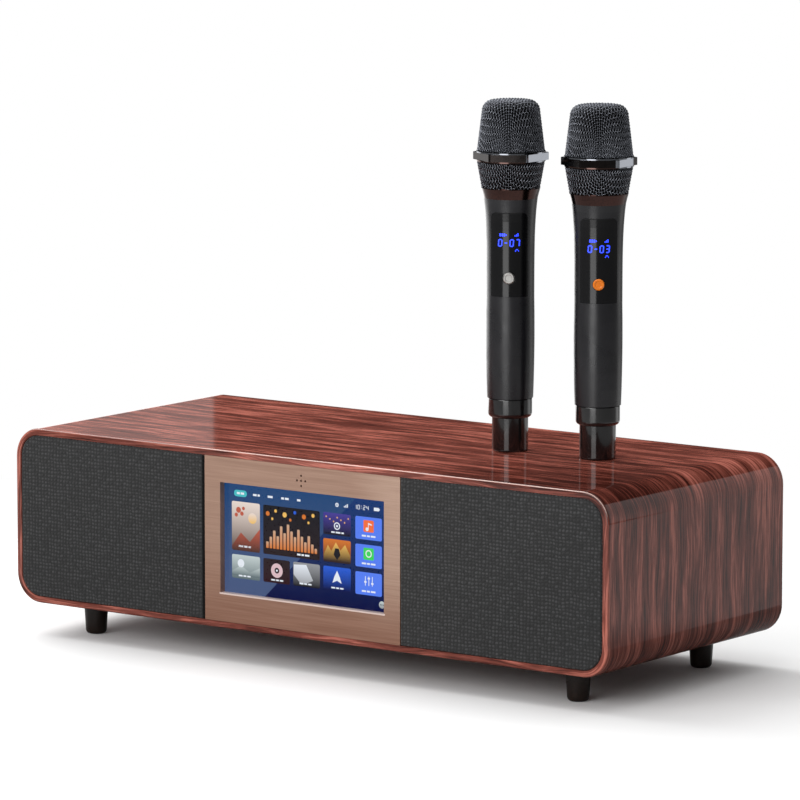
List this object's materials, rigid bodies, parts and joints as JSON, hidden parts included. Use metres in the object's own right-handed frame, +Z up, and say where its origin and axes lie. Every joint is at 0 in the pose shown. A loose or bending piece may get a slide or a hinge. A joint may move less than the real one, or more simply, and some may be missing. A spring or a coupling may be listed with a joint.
{
  "type": "karaoke speaker",
  "caption": "Karaoke speaker with a wooden cabinet, cloth grilles, a touch screen and wireless hand microphones that lift off, come open and unscrew",
  "frame": {"origin": "centre of the overall box on the surface that the feet stand on", "axes": "+X to the right seen from the front, +Y to the back, +Z up"},
  "size_m": [0.52, 0.218, 0.3995],
  "materials": {
    "lacquered_wood": "gloss",
    "raw_board": "matt",
    "painted_board": "matt",
    "grille_fabric": "woven",
    "frame_plastic": "matt",
    "rose_bronze": "brushed",
    "screen_glass": "gloss",
    "display_metal": "satin",
    "speaker_steel": "satin",
    "magnet_ferrite": "matt",
    "cone_paper": "matt",
    "soft_rubber": "matt",
    "black_plate": "satin",
    "connector_plastic": "satin",
    "connector_shell": "satin",
    "circuit_board": "satin",
    "foot_lacquer": "gloss",
    "gloss_black": "gloss",
    "satin_black": "satin",
    "window_lens": "gloss",
    "silver_button": "satin",
    "orange_button": "satin",
    "rose_chrome": "gloss",
    "bright_chrome": "gloss",
    "wire_mesh": "gloss",
    "capsule_metal": "satin",
    "battery_wrap": "gloss"
  },
  "bodies": {
    "cabinet": {"cabinet_shell": "lacquered_wood", "front_baffle": "painted_board", "speaker_partitions": "raw_board", "rear_panel": "painted_board", "io_plate": "black_plate", "left_grille_frame": "frame_plastic", "right_grille_frame": "frame_plastic", "left_grille_cloth": "grille_fabric", "right_grille_cloth": "grille_fabric", "front_panel": "rose_bronze", "screen_glass": "screen_glass", "screen_module": "display_metal", "screen_bracket": "frame_plastic", "left_woofer_basket": "speaker_steel", "right_woofer_basket": "speaker_steel", "left_woofer_magnet": "magnet_ferrite", "right_woofer_magnet": "magnet_ferrite", "left_woofer_surround": "soft_rubber", "right_woofer_surround": "soft_rubber", "left_tweeter": "speaker_steel", "right_tweeter": "speaker_steel", "left_bass_port": "frame_plastic", "right_bass_port": "frame_plastic", "power_inlet": "connector_plastic", "switch_housing": "connector_plastic", "usb_socket": "connector_shell", "aux_jack": "connector_plastic", "main_board": "circuit_board", "amplifier_board": "circuit_board", "power_supply": "circuit_board", "feet": "foot_lacquer"},
    "power_rocker": {"power_rocker": "gloss_black"},
    "left_woofer_cone": {"left_woofer_cone": "cone_paper"},
    "right_woofer_cone": {"right_woofer_cone": "cone_paper"},
    "left_mic_base": {"left_mic_tail": "gloss_black", "left_mic_tail_ring": "gloss_black", "left_mic_sleeve": "satin_black"},
    "left_mic_grip": {"left_mic_handle": "satin_black", "left_mic_window": "window_lens", "left_mic_collar": "rose_chrome", "left_mic_capsule": "capsule_metal", "left_mic_chassis": "circuit_board", "left_mic_battery": "battery_wrap"},
    "left_mic_head": {"left_mic_lower_basket": "wire_mesh", "left_mic_head_ring": "bright_chrome", "left_mic_upper_basket": "wire_mesh"},
    "left_mic_button": {"left_mic_button": "silver_button"},
    "right_mic_base": {"right_mic_tail": "gloss_black", "right_mic_tail_ring": "gloss_black", "right_mic_sleeve": "satin_black"},
    "right_mic_grip": {"right_mic_handle": "satin_black", "right_mic_window": "window_lens", "right_mic_collar": "rose_chrome", "right_mic_capsule": "capsule_metal", "right_mic_chassis": "circuit_board", "right_mic_battery": "battery_wrap"},
    "right_mic_head": {"right_mic_lower_basket": "wire_mesh", "right_mic_head_ring": "bright_chrome", "right_mic_upper_basket": "wire_mesh"},
    "right_mic_button": {"right_mic_button": "orange_button"}
  },
  "joints": [
    {"name": "power_rocker_tilt", "type": "hinge", "parent": "cabinet", "child": "power_rocker", "pos_m": [0.022, 0.1014, 0.08775], "axis": [1, 0, 0], "range_deg": [0, 22]},
    {"name": "left_woofer_travel", "type": "slide", "parent": "cabinet", "child": "left_woofer_cone", "axis": [0, -1, 0], "range_m": [-0.002, 0.002], "stiffness_N_per_m": 1000, "deforming": ["left_woofer_surround"]},
    {"name": "left_mic_lift", "type": "slide", "parent": "cabinet", "child": "left_mic_base", "axis": [0, 0, 1], "range_m": [0, 0.08]},
    {"name": "left_mic_open", "type": "slide", "parent": "left_mic_base", "child": "left_mic_grip", "axis": [0, 0, 1], "range_m": [0, 0.072]},
    {"name": "left_mic_head_off", "type": "slide", "parent": "left_mic_grip", "child": "left_mic_head", "axis": [0, 0, 1], "range_m": [0, 0.045]},
    {"name": "left_mic_press", "type": "slide", "parent": "left_mic_grip", "child": "left_mic_button", "axis": [-0.515, 0.8572, 0], "range_m": [0, 0.0006], "stiffness_N_per_m": 300},
    {"name": "right_woofer_travel", "type": "slide", "parent": "cabinet", "child": "right_woofer_cone", "axis": [0, -1, 0], "range_m": [-0.002, 0.002], "stiffness_N_per_m": 1000, "deforming": ["right_woofer_surround"]},
    {"name": "right_mic_lift", "type": "slide", "parent": "cabinet", "child": "right_mic_base", "axis": [0, 0, 1], "range_m": [0, 0.08]},
    {"name": "right_mic_open", "type": "slide", "parent": "right_mic_base", "child": "right_mic_grip", "axis": [0, 0, 1], "range_m": [0, 0.072]},
    {"name": "right_mic_head_off", "type": "slide", "parent": "right_mic_grip", "child": "right_mic_head", "axis": [0, 0, 1], "range_m": [0, 0.045]},
    {"name": "right_mic_press", "type": "slide", "parent": "right_mic_grip", "child": "right_mic_button", "axis": [-0.5736, 0.8192, 0], "range_m": [0, 0.0006], "stiffness_N_per_m": 300}
  ]
}
